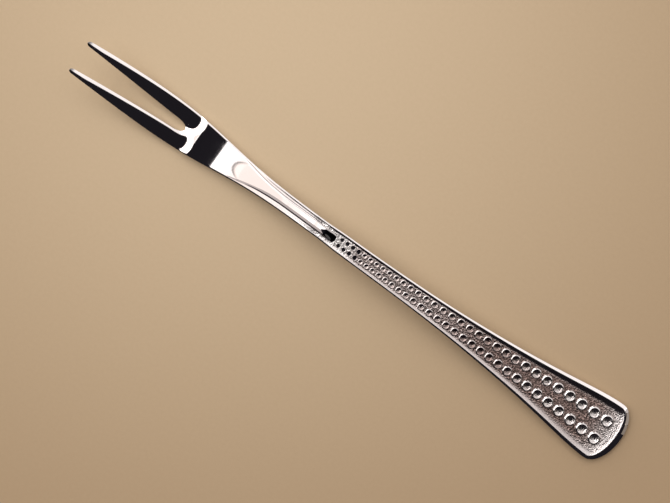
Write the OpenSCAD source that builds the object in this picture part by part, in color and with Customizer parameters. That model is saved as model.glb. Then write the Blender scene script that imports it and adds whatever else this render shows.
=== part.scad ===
// Two-tined serving fork for meat, struck in one piece from sheet metal and polished.
// It lies face up: the back of the head and the back of the handle's end touch the table at z = 0.
// The points of the tines are at -X, the end of the handle is at +X, and the fork is even about y = 0.

/* [Tines] */
// Length of a tine, from its point to the end of the slot
tine_length = 36.5; // [32:0.5:42]
// Distance between the middles of the two points
point_spacing = 9.4; // [8.6:0.1:10.4]
// Width of a tine at its point
point_width = 1.4; // [1.1:0.05:1.6]
// Thickness of a tine at its point
point_thickness = 0.8; // [0.6:0.05:1.1]
// Thickness of a tine at the slot's end
tine_thickness = 1.6; // [1.4:0.05:1.9]
// Width of the slot where its round end begins
slot_width = 3.5; // [3:0.1:4]
// Length of the slot's round end
slot_round = 4; // [3:0.25:5]
// Width of the rounding along a tine's edges near its point
tine_round = 1.1; // [0.8:0.05:1.3]
// Height that the points rise above the back of the head
point_rise = 8.5; // [6:0.25:10]

/* [Head] */
// Greatest width over both tines
head_width = 13.2; // [12.4:0.1:14]
// Distance from the slot's end to the shoulders where the neck's margins begin
head_length = 17.5; // [15:0.5:20]
// Length over which the head narrows from its shoulders to the neck
shoulder_length = 29.5; // [26:0.5:31]
// Thickness of the head
head_thickness = 2.2; // [2:0.05:2.5]
// Length of the slope that steps down from the head to the thinner tines
step_length = 3.25; // [2.5:0.25:4.5]
// Height of the crown across the head
head_crown = 0.25; // [0.1:0.05:0.4]
// Width of the rounding along the head's edges
head_round = 0.65; // [0.5:0.05:0.8]

/* [Neck] */
// Length of the neck, from the shoulders to the nose of the tongue
neck_length = 38; // [34:0.5:43]
// Width of the neck where it meets the handle
neck_width = 5.65; // [5.4:0.05:6.3]
// Thickness of the neck where it meets the handle
neck_thickness = 2.6; // [2.3:0.05:3]
// Width of the tongue along the narrow part of the neck
tongue_width = 2.5; // [2:0.1:2.8]
// Length over which the tongue narrows from the shoulders
tongue_taper = 21; // [17:0.5:25]
// Height of the tongue's crown above the neck's edges
tongue_rise = 0.35; // [0.2:0.05:0.5]
// Length of the nose that slopes down to the panel
nose_length = 6; // [4.5:0.25:7]
// Height of the back above the table at the top of the arch
arch_rise = 4.25; // [2.75:0.25:6]
// Distance from the nose of the tongue to the top of the arch
arch_offset = 12; // [0:1:24]

/* [Handle] */
// Length of the handle, from the nose of the tongue to its end
handle_length = 108; // [99:1:117]
// Width of the handle near its end
handle_width = 20.4; // [19:0.1:22]
// Thickness over the rim at the handle's end
handle_thickness = 2.2; // [2:0.05:2.5]
// Length of the rounded end beyond the widest place
end_length = 6; // [5.25:0.25:7]
// Distance from the edge to the top of the rim where the handle begins
rim_inset = 0.4; // [0.3:0.05:0.5]
// Distance from the edge to the top of the rim at the widest place
rim_inset_wide = 1.15; // [0.9:0.05:1.4]
// Distance from the edge to the top of the rim at the middle of the end
rim_inset_end = 2.1; // [1.6:0.05:2.3]
// Width of the hollow slope inside the rim where the handle begins
cove_width = 0.45; // [0.3:0.05:0.5]
// Width of the hollow slope inside the rim at the widest place
cove_width_wide = 2.5; // [1.9:0.1:2.8]
// Width of the hollow slope inside the rim at the middle of the end
cove_width_end = 2.2; // [1.8:0.1:2.4]
// Depth of the panel below the top of the rim where the handle begins
panel_depth = 0.4; // [0.3:0.05:0.5]
// Depth of the panel below the top of the rim at the widest place
panel_depth_wide = 0.65; // [0.5:0.05:0.75]

/* [Bosses] */
// Number of bosses in each of the two rows
boss_count = 32; // [29:1:35]
// Growth of each step along a row over the step before it
boss_growth = 1.031; // [1.027:0.001:1.035]
// Distance from the nose of the tongue to the first pair
boss_start = 1.7; // [1.6:0.1:3]
// Distance from the last pair to the handle's end
boss_finish = 7.1; // [6.8:0.1:9]
// Diameter of a boss as a share of its step along the row
boss_share = 0.86; // [0.76:0.01:0.9]
// Distance between the two rows at the first pair
row_spacing = 2.1; // [2:0.05:2.2]
// Distance between the two rows at the last pair
row_spacing_last = 6.7; // [6:0.1:7.2]
// Height of a boss's rim as a share of its radius
boss_height = 0.22; // [0.16:0.01:0.26]

/* [Hidden] */
// Stations along the fork, measured from the points
overall_length = tine_length + head_length + neck_length + handle_length;
x_crotch = tine_length;
x_root = x_crotch - slot_round;
x_wide = x_crotch - 10.5;
x_step = x_crotch + 2.25;
x_belly = x_step + step_length + 1;
x_shoulder = x_crotch + head_length;
x_nose = x_shoulder + neck_length;
x_arch = x_nose + arch_offset;
x_flare = overall_length - end_length;
// The back is flattened by this much where it touches the table.
rest_flat = 0.06;
// Length over which each point is rounded off
point_round = 0.9;
// Depth of the hairline between the tongue and the edges of the head
line_depth = 0.02;
line_width = 0.05;
// Rounding of the back's edges
back_round = 1.1;
// Number of steps in each rounded edge and in each hollow slope
edge_steps = 4;
cove_steps = 4;
tongue_steps = 5;
// Number of steps round the slot's end
slot_steps = 32;
// Radius of a boss's crest, as a share of the boss
crest_share = 0.76;

steel = [0.78, 0.77, 0.75];

// Smooth step from 0 to 1
function ease(u) = u <= 0 ? 0 : u >= 1 ? 1 : u * u * (3 - 2 * u);

// Value between a and b
function mix(a, b, u) = a + (b - a) * u;

// Half the width over the outer edges, from the points to the handle's widest place.
// The handle widens as a square, and bulges before the end so that it runs straight into it.
function half_width(x) =
    x < x_wide ? mix(head_width / 2, (point_spacing + point_width) / 2, pow(1 - x / x_wide, 1.6)) :
    x <= x_nose ? mix(neck_width / 2, head_width / 2, exp(-pow((x - x_wide) / shoulder_length, 2.5))) :
    mix(half_width(x_nose), handle_width / 2, flare((x - x_nose) / (x_flare - x_nose)));
function flare(v) = v * v + 2 * pow(v, 10) * (1 - v);

// Half the width of the slot between the tines
function half_slot(x) = mix(slot_width / 2, (point_spacing - point_width) / 2, pow(1 - x / x_root, 1.15));

// Height of the back's middle line above the table
function back_z(x) = -rest_flat + (
    x < x_belly ? point_rise * pow(1 - x / x_belly, 2) :
    x < x_arch ? arch_rise * ease((x - x_belly) / (x_arch - x_belly)) :
    arch_rise * (1 - ease((x - x_arch) / (overall_length - x_arch))));

// Thickness over the edges
function thickness(x) =
    x < x_crotch ? mix(point_thickness, tine_thickness, x / x_crotch) :
    x < x_nose ? mix(
        mix(tine_thickness, head_thickness, ease((x - x_step) / step_length)),
        neck_thickness, ease((x - x_belly) / (x_nose - x_belly))) :
    mix(neck_thickness, handle_thickness, (x - x_nose) / handle_length);

function edge_z(x) = back_z(x) + thickness(x);

// Share of the way that the handle has widened, which its rim follows
function flared(x) = (half_width(x) - half_width(x_nose)) / (handle_width / 2 - half_width(x_nose));

// Rim, hollow slope and panel: inset of the rim's top, width of the slope and depth of the panel
function inset(x) =
    x < x_crotch ? mix(tine_round, head_round, x / x_crotch) :
    x < x_nose ? mix(head_round, rim_inset, ease((x - x_crotch) / head_length)) :
    mix(rim_inset, rim_inset_wide, flared(min(x, x_flare)));
function cove(x) = x < x_nose
    ? mix(line_width, cove_width, ease((x - x_shoulder) / neck_length))
    : mix(cove_width, cove_width_wide, flared(min(x, x_flare)));
function depth(x) = x < x_nose
    ? mix(line_depth, panel_depth, pow(max(0, (x - x_shoulder) / neck_length), 4))
    : mix(panel_depth, panel_depth_wide, flared(min(x, x_flare)));

// Tongue: half its width, and the height of its crown above the floor beside it
function floor_half(x) = half_width(x) - inset(x) - cove(x);
function tongue_half(x) =
    mix(floor_half(x) - line_width, tongue_width / 2, ease((x - x_shoulder) / tongue_taper))
    * max(0.02, sqrt(max(0, 1 - pow(max(0, 1 - (x_nose - x) / (tongue_width / 2)), 2))));
function crown(x) =
    (depth(x) + mix(head_crown * ease((x - x_step) / step_length), tongue_rise,
        ease((x - x_shoulder) / tongue_taper)))
    * ease((x_nose - x) / nose_length);

// Edge rounded from its widest line in to the rim's top, as [inset, height] shares
function rounded(steps) = [for (i = [0:steps]) [1 - cos(90 * i / steps), sin(90 * i / steps)]];

// Mirrors half a row of points, given from the edge to the middle, into a row from edge to edge
function both(half, on_axis) = concat(
    [for (p = half) [p[0], -p[1], p[2]]],
    [for (i = [len(half) - (on_axis ? 2 : 1):-1:0]) half[i]]);

// Upper half section of the head and neck at one place along the fork
function body_top(x) = concat(
    [for (r = rounded(edge_steps))
        [x, half_width(x) - inset(x) * r[0], edge_z(x) - thickness(x) * 0.4 * (1 - r[1])]],
    [for (i = [1:cove_steps])
        [x, half_width(x) - inset(x) - cove(x) * i / cove_steps,
            edge_z(x) - depth(x) * ease(i / cove_steps)]],
    [for (i = [0:tongue_steps]) let (u = cos(90 * i / tongue_steps))
        [x, tongue_half(x) * u, edge_z(x) - depth(x) + crown(x) * (1 - u * u)]]);

// Lower half section with as many points as the upper one
function body_back(x, count) = concat(
    [for (r = rounded(edge_steps))
        [x, half_width(x) - back_round * r[0], back_z(x) + thickness(x) * 0.4 * (1 - r[1])]],
    [for (i = [1:count - edge_steps - 1])
        [x, (half_width(x) - back_round) * (1 - i / (count - edge_steps - 1)), back_z(x)]]);

// Tine section from the slot to the outer edge, above and below, drawn in to a blunt round point
function tine_roll(x) = min(inset(x), 0.46 * (half_width(x) - half_slot(x)));
function point_share(x) = sqrt(1 - pow(max(0, 1 - (x + 0.1) / point_round), 2));
function tine_side(x, y, z) = let (
    mid_y = (half_slot(x) + half_width(x)) / 2,
    mid_z = back_z(x) + thickness(x) / 2)
    [x, mix(mid_y, y, point_share(x)), mix(mid_z, z, point_share(x))];
function tine_top(x) = concat(
    [for (r = rounded(edge_steps))
        tine_side(x, half_slot(x) + tine_roll(x) * r[0], edge_z(x) - thickness(x) * 0.4 * (1 - r[1]))],
    [for (i = [edge_steps:-1:0]) let (r = rounded(edge_steps)[i])
        tine_side(x, half_width(x) - tine_roll(x) * r[0], edge_z(x) - thickness(x) * 0.4 * (1 - r[1]))]);
function tine_back(x) = [for (p = tine_top(x)) [x, p[1], 2 * back_z(x) + thickness(x) - p[2]]];

// Handle's row of points round the rounded end, where t runs from 0 at the sides to 1 at the middle.
// The rim's top, the hollow slope and the panel's edge are ellipses inside one another.
function end_point(t, inset_side, inset_end, z) = let (
    x = x_flare + (end_length - inset_end) * sin(90 * t))
    [x, max(0, (handle_width / 2 - inset_side) * cos(90 * t)), z + back_z(min(x, overall_length))];
function end_thickness(t) = thickness(mix(x_flare, overall_length, t));
function end_top(t) = let (thick = end_thickness(t), dip = panel_depth_wide) concat(
    [for (r = rounded(edge_steps))
        end_point(t, rim_inset_wide * r[0], rim_inset_end * r[0], thick * (1 - 0.4 * (1 - r[1])))],
    [for (i = [1:cove_steps]) let (u = i / cove_steps)
        end_point(t, rim_inset_wide + cove_width_wide * u, rim_inset_end + cove_width_end * u,
            thick - dip * ease(u))]);
function end_back(t) = let (thick = end_thickness(t)) concat(
    [for (r = rounded(edge_steps))
        end_point(t, back_round * r[0], back_round * r[0], thick * 0.4 * (1 - r[1]))],
    [for (i = [1:cove_steps]) let (u = i / cove_steps / 2)
        end_point(t, mix(back_round, handle_width / 2, u), mix(back_round, end_length, u), 0)]);

// Rows of the handle from the nose of the tongue to the widest place
function handle_top(x) = [for (i = [0:edge_steps + cove_steps]) body_top(x)[i]];
function handle_back(x) = concat(
    [for (i = [0:edge_steps]) body_back(x, edge_steps + 2)[i]],
    [for (i = [1:cove_steps])
        [x, (half_width(x) - back_round) * (1 - i / cove_steps / 2), back_z(x)]]);

// Closed solid skinned over rows of points, upper and lower, that run from edge to edge.
// A pinched solid ends in a row that lies on the middle plane, and its two halves share that row.
module skin(tops, backs, pinched = false) {
    rows = len(tops);
    cols = len(tops[0]);
    points = concat([for (row = tops, p = row) p], [for (row = backs, p = row) p]);
    function top(r, c) = r * cols + (pinched && r == rows - 1 ? min(c, cols - 1 - c) : c);
    function back(r, c) = rows * cols + top(r, c);
    quads = concat(
        [for (r = [0:rows - 2], c = [0:cols - 2])
            [top(r, c), top(r, c + 1), top(r + 1, c + 1), top(r + 1, c)]],
        [for (r = [0:rows - 2], c = [0:cols - 2])
            [back(r + 1, c), back(r + 1, c + 1), back(r, c + 1), back(r, c)]],
        [for (r = [0:rows - 2]) [top(r, 0), top(r + 1, 0), back(r + 1, 0), back(r, 0)]],
        [for (r = [0:rows - 2]) let (c = cols - 1)
            [top(r + 1, c), top(r, c), back(r, c), back(r + 1, c)]],
        [for (c = [0:cols - 2]) [top(0, c + 1), top(0, c), back(0, c), back(0, c + 1)]],
        pinched ? [] : [for (c = [0:cols - 2]) let (r = rows - 1)
            [top(r, c), top(r, c + 1), back(r, c + 1), back(r, c)]]);
    triangles = [for (q = quads, t = [[q[0], q[1], q[2]], [q[0], q[2], q[3]]])
        if (t[0] != t[1] && t[1] != t[2] && t[2] != t[0]) t];
    translate([-overall_length / 2, 0, 0])
        polyhedron(points = points, faces = triangles);
}

// Space below the table, which flattens the back where the fork rests
module below_table() {
    translate([-overall_length / 2 - 5, -handle_width, -5])
        cube([overall_length + 10, 2 * handle_width, 5]);
}

// Places along the fork between two others, in equal steps
function places(from, to, steps) = [for (i = [0:steps]) mix(from, to, i / steps)];

// One tine on the +Y side
module tine() {
    xs = concat(places(0, point_round, 4), [for (u = places(0, 1, 16)) if (u > 0) mix(point_round, x_root, u)]);
    skin([for (x = xs) tine_top(x)], [for (x = xs) tine_back(x)]);
}

module left_tine() {
    color(steel) mirror([0, 1, 0]) tine();
}

module right_tine() {
    color(steel) tine();
}

// Part of the head and neck between two places, skinned through the given places
module body(xs) {
    count = len(body_top(xs[0]));
    skin(
        [for (x = xs) both(body_top(x), true)],
        [for (x = xs) both(body_back(x, count), true)]);
}

// Long round end of the slot, a stack of ellipses that flare above and below to round its edges
module slot_end() {
    roll = tine_roll(x_root);
    edge = rounded(edge_steps);
    levels = concat(
        [[roll, -1]],
        [for (i = [edge_steps:-1:0]) [roll * edge[i][0], -0.1 - 0.4 * edge[i][1]]],
        [for (r = edge) [roll * r[0], 0.1 + 0.4 * r[1]]],
        [[roll, 1]]);
    last = (len(levels) - 1) * slot_steps;
    points = [for (l = levels, i = [0:slot_steps - 1]) let (
        a = 360 * i / slot_steps,
        x = x_root + (slot_round + l[0]) * cos(a))
        [x - overall_length / 2, (slot_width / 2 + l[0]) * sin(a),
            back_z(x) + thickness(x) * (0.5 + l[1])]];
    sides = [for (k = [0:len(levels) - 2], i = [0:slot_steps - 1]) let (
        p = k * slot_steps + i,
        q = k * slot_steps + (i + 1) % slot_steps)
        each [[p, p + slot_steps, q + slot_steps], [p, q + slot_steps, q]]];
    ends = [for (i = [1:slot_steps - 2])
        each [[0, i, i + 1], [last, last + i + 1, last + i]]];
    polyhedron(points = points, faces = concat(sides, ends));
}

module head() {
    color(steel)
        difference() {
            body(concat(
                places(x_root, x_step, 8),
                [for (x = places(x_step, x_shoulder, 16)) if (x > x_step) x]));
            slot_end();
            below_table();
        }
}

module neck() {
    color(steel)
        body(concat(
            places(x_shoulder, x_nose - nose_length, 16),
            [for (u = places(0, 1, 10)) if (u > 0) x_nose - nose_length * pow(1 - u, 1.5)]));
}

// Distance of a boss from the nose of the tongue, for boss i counted from 0
boss_run = handle_length - boss_start - boss_finish;
function boss_along(i) = boss_start + boss_run
    * (pow(boss_growth, i) - 1) / (pow(boss_growth, boss_count - 1) - 1);
// Step along the row at boss i, from which its radius follows
function boss_radius(i) = boss_share / 2 * boss_run * pow(boss_growth, i) * ln(boss_growth)
    / (pow(boss_growth, boss_count - 1) - 1);
// Half the distance between the rows, which spread with the handle
function row_half(i) = mix(row_spacing, row_spacing_last,
    pow((boss_along(i) - boss_start) / boss_run, 1.6)) / 2;
// Height and slope of the panel
function panel_z(x) = edge_z(x) - depth(x);
function panel_angle(x) = atan2(panel_z(x - 0.5) - panel_z(x + 0.5), 1);

// Raised ring with a dished middle: a dome whose top is hollowed by a ball
module boss(radius) {
    // The dome's own height is set so that the crest left by the dish has the wanted height.
    dome = radius * boss_height / (1 - crest_share * crest_share);
    ball = (radius * radius + dome * dome) / (2 * dome);
    ring = radius * crest_share;
    ring_z = sqrt(ball * ball - ring * ring) - ball + dome;
    dish_z = ring_z * 0.1;
    sag = ring_z - dish_z;
    dish = (ring * ring + sag * sag) / (2 * sag);
    rotate_extrude()
        difference() {
            intersection() {
                translate([0, dome - ball]) circle(r = ball);
                translate([0, -0.3]) square([radius * 1.05, 0.3 + dome]);
            }
            translate([0, dish_z + dish]) circle(r = dish);
        }
}

module boss_row(side) {
    for (i = [0:boss_count - 1]) {
        x = x_nose + boss_along(i);
        translate([x - overall_length / 2, side * row_half(i), panel_z(x)])
            rotate([0, panel_angle(x), 0])
                boss(boss_radius(i));
    }
}

module handle() {
    xs = places(x_nose, x_flare, 32);
    ts = [for (t = places(0, 1, 14)) if (t > 0) t];
    color(steel)
        difference() {
            union() {
                skin(
                    concat([for (x = xs) both(handle_top(x), false)],
                        [for (t = ts) both(end_top(t), false)]),
                    concat([for (x = xs) both(handle_back(x), false)],
                        [for (t = ts) both(end_back(t), false)]),
                    pinched = true);
                boss_row(-1);
                boss_row(1);
            }
            below_table();
        }
}

left_tine();
right_tine();
head();
neck();
handle();
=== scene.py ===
# %% [markdown]
# A two-tined meat fork, struck from sheet metal
# The real fork is one piece: a flat blank is cut to its outline, and a pair of dies then strikes the
# tongue, the rim and the bosses into its face. This lesson makes it in Blender in the same order: blank,
# strike, polish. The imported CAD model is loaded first. It is a fixed frame: nothing here moves it or
# changes its meshes.

# %% Load the frame
import math
import bmesh
import bpy
import numpy as np
from mathutils import Matrix, Vector


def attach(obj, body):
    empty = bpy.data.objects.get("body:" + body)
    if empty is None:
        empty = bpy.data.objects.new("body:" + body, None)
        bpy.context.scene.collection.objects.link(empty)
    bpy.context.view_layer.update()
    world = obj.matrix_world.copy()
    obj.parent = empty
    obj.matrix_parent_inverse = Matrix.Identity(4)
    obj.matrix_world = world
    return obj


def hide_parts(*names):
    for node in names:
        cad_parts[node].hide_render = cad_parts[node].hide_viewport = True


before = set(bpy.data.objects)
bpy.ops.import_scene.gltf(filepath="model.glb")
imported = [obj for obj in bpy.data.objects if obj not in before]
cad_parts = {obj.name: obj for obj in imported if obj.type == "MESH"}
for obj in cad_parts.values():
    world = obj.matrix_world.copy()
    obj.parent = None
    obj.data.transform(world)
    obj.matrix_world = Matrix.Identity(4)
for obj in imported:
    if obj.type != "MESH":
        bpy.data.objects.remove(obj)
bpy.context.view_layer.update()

print("CAD nodes:", sorted(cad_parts))

# %% [markdown]
# Sizes
# The fork's named sizes are those of the CAD model's source, in millimetres. x runs along the fork and
# starts at the points of the tines, so the model's own X is x less half the length. Blender works in
# metres here, and the sizes are turned into metres only when a vertex is placed.

# %% Sizes of the fork
MM = 0.001
LENGTH = 200.0
# The slot between the tines, with its round end, and places on the head
x_crotch = 36.5
slot_round, slot_half = 4.0, 1.75
x_root = x_crotch - slot_round
x_wide = x_crotch - 10.5
x_step = x_crotch + 2.25
x_belly = x_step + 4.25
# The neck, the top of its arch, and the handle's rounded end
x_shoulder = 54.0
x_nose = 92.0
x_arch = x_nose + 12
end_length = 6.0
x_flare = LENGTH - end_length
# Half-widths, and heights of the back
point_out, point_in, point_round = 5.4, 4.0, 0.9
head_half, neck_half, handle_half = 6.6, 2.825, 10.2
point_rise, arch_rise = 8.5, 4.25
print("slot ends at", x_crotch, "mm; tongue ends at", x_nose, "mm; handle is widest at", x_flare, "mm")

# %% [markdown]
# Outline of the blank
# Half of the fork is enough, because it is even about its middle line. The outline could be drawn as a
# curve with handles, but short functions give the half-width at any place, so rows of vertices can be put
# wherever the form needs them. The tines widen from blunt points, the head narrows in a soft shoulder to
# the neck, and the handle flares from a slight collar and then runs straight into its rounded end.

# %% Outline functions
tine_curve, slot_curve = 1.6, 1.15
shoulder_length, shoulder_curve = 29.5, 2.5
collar_half = 0.27
collar_start, collar_run = 86, 9
collar_end, collar_fade = 100, 38


def ease(u):
    u = np.clip(u, 0, 1)
    return u * u * (3 - 2 * u)


def rise(x, start, run):
    # From 0 at the start to 1 after the run, level at both ends
    return ease((x - start) / run)


def mix(a, b, u):
    return a + (b - a) * u


def shoulder(x):
    # From 1 at the widest place of the head to 0 along the neck
    return np.exp(-(np.clip(x - x_wide, 0, None) / shoulder_length) ** shoulder_curve)


def half_width(x):
    x = np.asarray(x, float)
    tines = mix(head_half, point_out, np.clip(1 - x / x_wide, 0, 1) ** tine_curve)
    neck = mix(neck_half, head_half, shoulder(x))
    v = np.clip((x - x_nose) / (x_flare - x_nose), 0, 1)
    neck_end = mix(neck_half, head_half, shoulder(x_nose))
    handle = mix(neck_end, handle_half, v * v + 2 * v ** 10 * (1 - v))
    collar = collar_half * rise(x, collar_start, collar_run) * (1 - rise(x, collar_end, collar_fade))
    return np.where(x < x_wide, tines, np.where(x <= x_nose, neck, handle) + collar)


def half_slot(x):
    x = np.asarray(x, float)
    tapered = mix(slot_half, point_in, np.clip(1 - x / x_root, 0, 1) ** slot_curve)
    rounded = slot_half * np.sqrt(np.clip(1 - (np.clip(x - x_root, 0, None) / slot_round) ** 2, 0, 1))
    return np.where(x < x_root, tapered, rounded)


print("half-widths at 0, 30, 80, 150, 194 mm:", half_width([0, 30, 80, 150, 194]).round(2))

# %% [markdown]
# Side view
# Seen from the side, the points rise from the table, the back of the head rests on it, and the neck and
# handle form a low arch down to the handle's end. The metal is thickest at the neck and thin at the
# points. The flat top of each tine runs back into the head and ends there in a round lobe, with a ramp up
# to the thicker head. A straight bar could be bent with a modifier, but heights as functions keep the back
# exactly where it rests.

# %% Side view functions
rest_cut = 0.06
point_thick, root_thick, head_thick, neck_thick, end_thick = 0.8, 1.6, 2.2, 2.6, 2.2
step_height, step_length = 0.25, 2.6
x_lobe = x_crotch - 0.8
lobe_length, lobe_middle, lobe_half = 3.5, 3.75, 2.75
lobe_blend, lobe_ramp = 0.7, 0.62


def back_z(x):
    # The rests are flat because the back dips a little below the table and is cut off there
    x = np.asarray(x, float)
    tines = point_rise * np.clip(1 - x / x_belly, 0, 1) ** 2
    rising = arch_rise * rise(x, x_belly, x_arch - x_belly)
    falling = arch_rise * (1 - rise(x, x_arch, LENGTH - x_arch))
    return np.where(x < x_belly, tines, np.where(x < x_arch, rising, falling)) - rest_cut


def tine_flat(x, y):
    # Below 1 on the flat tops of the tines, and growing outside their round ends
    along = np.clip(x - x_lobe, 0, None) / lobe_length
    across = (np.hypot(y, lobe_blend) - lobe_middle) / lobe_half
    return np.where(x < x_lobe, 0, np.hypot(along, across))


def thickness(x, y=0.0):
    x = np.asarray(x, float)
    tines = mix(point_thick, root_thick, np.clip(x / x_crotch, 0, 1))
    head = mix(tines, head_thick, ease((tine_flat(x, y) - 1) / lobe_ramp))
    head = mix(head, neck_thick, rise(x, x_belly, x_nose - x_belly))
    head += step_height * rise(x, x_step, step_length) * (1 - rise(x, x_shoulder, x_nose - x_shoulder))
    handle = mix(neck_thick, end_thick, (x - x_nose) / (LENGTH - x_nose))
    return np.where(x < x_nose, head, handle)


print("heights of the back at 0, 43, 92, 200 mm:", back_z([0, 43, 92, 200]).round(2))

# %% [markdown]
# What the die strikes
# Going in from the edge, the die leaves a rounded edge up to the rim's crest, a hollow slope (a cove) down
# to the ground, and in the middle of the neck a raised tongue with a fine groove on each side. The widths
# of these grow along the handle with its flare. A bevel tool gives one width all along, so the widths are
# functions too.

# %% Rim, cove and ground
rim_point, rim_root, rim_neck, rim_end = 1.05, 0.5, 0.4, 1.08
cove_line, cove_neck, cove_gain, cove_start, cove_end = 0.08, 0.45, 0.5, 0.95, 3.0
depth_neck, depth_gain, depth_start, depth_end = 0.09, 0.31, 0.4, 0.72
cove_run, depth_run = 14, 16
x_panel, x_sink, panel_run = 86.0, 87.5, 4.5


def flared(x):
    start = half_width(x_nose)
    return np.clip((half_width(np.clip(x, x_nose, x_flare)) - start) / (handle_half - start), 0, 1)


def rim_width(x):
    tines = mix(rim_point, rim_root, np.clip(x / x_crotch, 0, 1))
    head = mix(tines, rim_neck, rise(x, x_crotch, x_shoulder - x_crotch))
    return np.where(x < x_nose, head, mix(rim_neck, rim_end, flared(x)))


def cove_width(x):
    neck = mix(cove_line, cove_neck, rise(x, x_shoulder, cove_run)) + cove_gain * rise(x, x_panel, panel_run)
    return np.where(x < x_nose, neck, mix(cove_start, cove_end, flared(x)))


def ground_depth(x):
    neck = depth_neck * rise(x, x_shoulder + 8, depth_run) + depth_gain * rise(x, x_sink, panel_run)
    return np.where(x < x_nose, neck, mix(depth_start, depth_end, flared(x)))


print("rim, cove and ground at the flare:", rim_width(x_flare), cove_width(x_flare), ground_depth(x_flare))

# %% [markdown]
# Tongue
# The tongue starts as wide as the head's shoulders, tapers to a slim bar, and ends in a round nose that
# slopes down to the ground. Its middle falls sooner than its sides, which draws the dark reflection there
# to a point. A bar of its own, joined to the neck, would show a seam, so the tongue is a height added to
# the face.

# %% Tongue functions
tongue_slim, tongue_gap, tongue_taper, tongue_up = 1.25, 0.05, 21, 0.2
swell_start, swell_run, swell_slope = 74, 11, 0.01
lift_start, lift_run, lift_slope = 84, 5, 0.024
nose_fall, nose_side, nose_curve = 5.6, 2.9, 1.3
tongue_flat, tongue_crown, tongue_side = 0.8, 0.2, 14


def tongue_half(x):
    before_nose = np.minimum(x, x_nose)
    wide = half_width(before_nose) - rim_width(before_nose) - cove_width(before_nose) - tongue_gap
    slim = mix(wide, tongue_slim, rise(x, x_shoulder, tongue_taper))
    round_nose = np.clip(1 - (x_nose - x) / tongue_slim, 0, 1)
    return slim * np.maximum(0.02, np.sqrt(np.clip(1 - round_nose ** 2, 0, 1)))


def tongue_share(x, y):
    # From 0 on the tongue's middle line to 1 at its side
    return np.abs(y) / np.maximum(tongue_half(x), 1e-6)


def tongue_height(x, y):
    v = np.clip(tongue_share(x, y), 0, 1)
    up = tongue_up * rise(x, x_shoulder, tongue_taper)
    up += swell_slope * np.clip(x - swell_start, 0, swell_run)
    up += lift_slope * np.clip(x - lift_start, 0, lift_run)
    crest = (ground_depth(x) + up) * ease((x_nose - x) / (nose_fall - nose_side * v ** nose_curve))
    return crest * (tongue_flat * (1 - v ** tongue_side) + tongue_crown * (1 - v ** 2))


print("tongue is", round(2 * float(tongue_half(80.0)), 2), "mm wide 80 mm from the points")

# %% [markdown]
# Rows and columns of the blank
# A grid is the start of the blank: its rows cross the fork and its columns run along it. Rows are packed
# closely where the form turns quickly, at the points, round the slot's end, at the tongue's nose and at
# the end. Columns are packed closely in the rounded edge and the cove, because a polished surface shows
# every facet there.

# %% Places of the rows and zones of the columns
# Rows are close behind the slot, and again from a place before the tongue's nose
slot_slope = 2.4
x_close = 84


def places(start, stop, count):
    return list(np.linspace(start, stop, count, endpoint=False))


quarter = np.linspace(0, math.pi / 2, 25)
row_x = [point_round * (1 - math.cos(a)) for a in np.linspace(0.15, math.pi / 2, 12)[:-1]]
row_x += places(point_round, x_root, 84)
row_x += [x_root + slot_round * math.sin(a) for a in quarter[:-1]]
row_x += [x_crotch + slot_slope * (1 - math.cos(a)) for a in quarter[:-1]]
row_x += places(x_crotch + slot_slope, x_belly, 30) + places(x_belly, x_shoulder, 26)
row_x += places(x_shoulder, x_close, 60) + places(x_close, x_nose, 70) + places(x_nose, x_flare, 200)
row_x = np.array(row_x)
end_t = np.linspace(0, 1, 61)
zone_counts = {"edge": 12, "cove": 10, "ground": 8, "groove": 10, "middle": 12}
ROWS = len(row_x) + len(end_t)
COLS = sum(zone_counts.values()) + 1
print(ROWS, "rows by", COLS, "columns for half the fork")

# %% [markdown]
# Plan of the struck face
# Each column belongs to a zone, and has a share from 0 to 1 inside it. These functions turn a row and a
# column into a place on the outline. The fractions between cove and tongue only space the columns evenly
# there.

# %% Plan of the face
tine_edge_share = 0.46
zone, share = [], []
for name, count in zone_counts.items():
    for k in range(count):
        zone.append(name)
        share.append(k / count)
zone = np.array(zone + ["middle"])
share = np.array(share + [1.0])


def edge_width(x):
    # Width of the rounded edge, which on a tine leaves a flat top between its two edges
    tine = np.where(x < x_root, half_width(x) - half_slot(x), np.inf)
    return np.minimum(rim_width(x), tine_edge_share * tine)


def zone_bounds(x):
    # Half-widths at which the zones meet, from the edge to the middle line or the slot
    edge = half_width(x)
    crest = edge - edge_width(x)
    floor = crest - np.where(x < x_root, 0.1, cove_width(x))
    inner = half_slot(x)
    tine_in = inner + (edge - crest)
    turn = rise(x, x_root, 8)
    groove_out = mix(mix(tine_in, floor, 0.5), np.minimum(tongue_half(x) + 0.4, floor * 0.97), turn)
    groove_in = mix(tine_in, np.minimum(tongue_half(x) * 0.55, floor * 0.5), turn)
    late = rise(x, x_nose - 2, 2)
    groove_out = mix(groove_out, floor * 0.66, late)
    groove_in = mix(groove_in, floor * 0.33, late)
    return edge, crest, floor, groove_out, groove_in, inner


def round_share(s):
    return 1 - np.cos(s * math.pi / 2)


def face_plan(x):
    edge, crest, floor, groove_out, groove_in, inner = (b[:, None] for b in zone_bounds(x))
    y = np.where(zone == "edge", edge - (edge - crest) * round_share(share), 0)
    y = np.where(zone == "cove", mix(crest, floor, share), y)
    y = np.where(zone == "ground", mix(floor, groove_out, share), y)
    y = np.where(zone == "groove", mix(groove_out, groove_in, share), y)
    to_slot = inner + (groove_in - inner) * round_share(1 - share)
    to_axis = mix(groove_in, inner, share)
    return np.where(zone == "middle", np.where(x[:, None] < x_crotch, to_slot, to_axis), y)


face_y = face_plan(row_x)
face_x = np.repeat(row_x[:, None], COLS, 1)
print("narrowest step across the face:", round(float(np.min(face_y[:, :-1] - face_y[:, 1:])), 4), "mm")

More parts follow.
